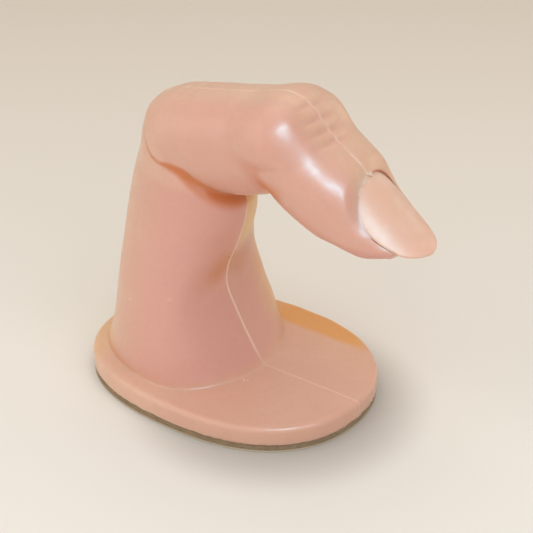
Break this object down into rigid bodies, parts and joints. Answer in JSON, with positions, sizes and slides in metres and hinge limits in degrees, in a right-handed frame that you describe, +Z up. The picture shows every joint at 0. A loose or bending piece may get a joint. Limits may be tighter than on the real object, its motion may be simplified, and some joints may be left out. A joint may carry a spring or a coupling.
{
  "type": "nail practice finger",
  "caption": "Bent artificial finger on an oval foot with an adhesive pad, holding a slide-in nail at its tip for practising manicure work.",
  "frame": {"origin": "on the underside of the release liner, at the middle of the foot's length, in the plane where the mould parts", "axes": "+Z up from the face it rests on, +X the way the finger points, Y = 0 the plane of symmetry"},
  "size_m": [0.0768, 0.0458, 0.0694],
  "materials": {
    "soft_vinyl": "satin, softly plasticised, flesh pink",
    "nail_vinyl": "satin gloss, a little paler than the finger",
    "foam_tape": "matt closed-cell foam, olive brown",
    "liner_paper": "coated paper"
  },
  "bodies": {
    "liner": {"release_liner": "liner_paper"},
    "finger": {"finger_shell": "soft_vinyl", "foam_pad": "foam_tape"},
    "nail": {"nail_plate": "nail_vinyl"}
  },
  "joints": [
    {"name": "liner_peel", "type": "hinge", "parent": "liner", "child": "finger", "pos_m": [-0.0305, 0, 0.00035], "axis": [0, -1, 0], "range_deg": [0, 60]},
    {"name": "nail_slide", "type": "slide", "parent": "finger", "child": "nail", "axis": [0.788, 0, -0.6157], "range_m": [0, 0.018]}
  ]
}
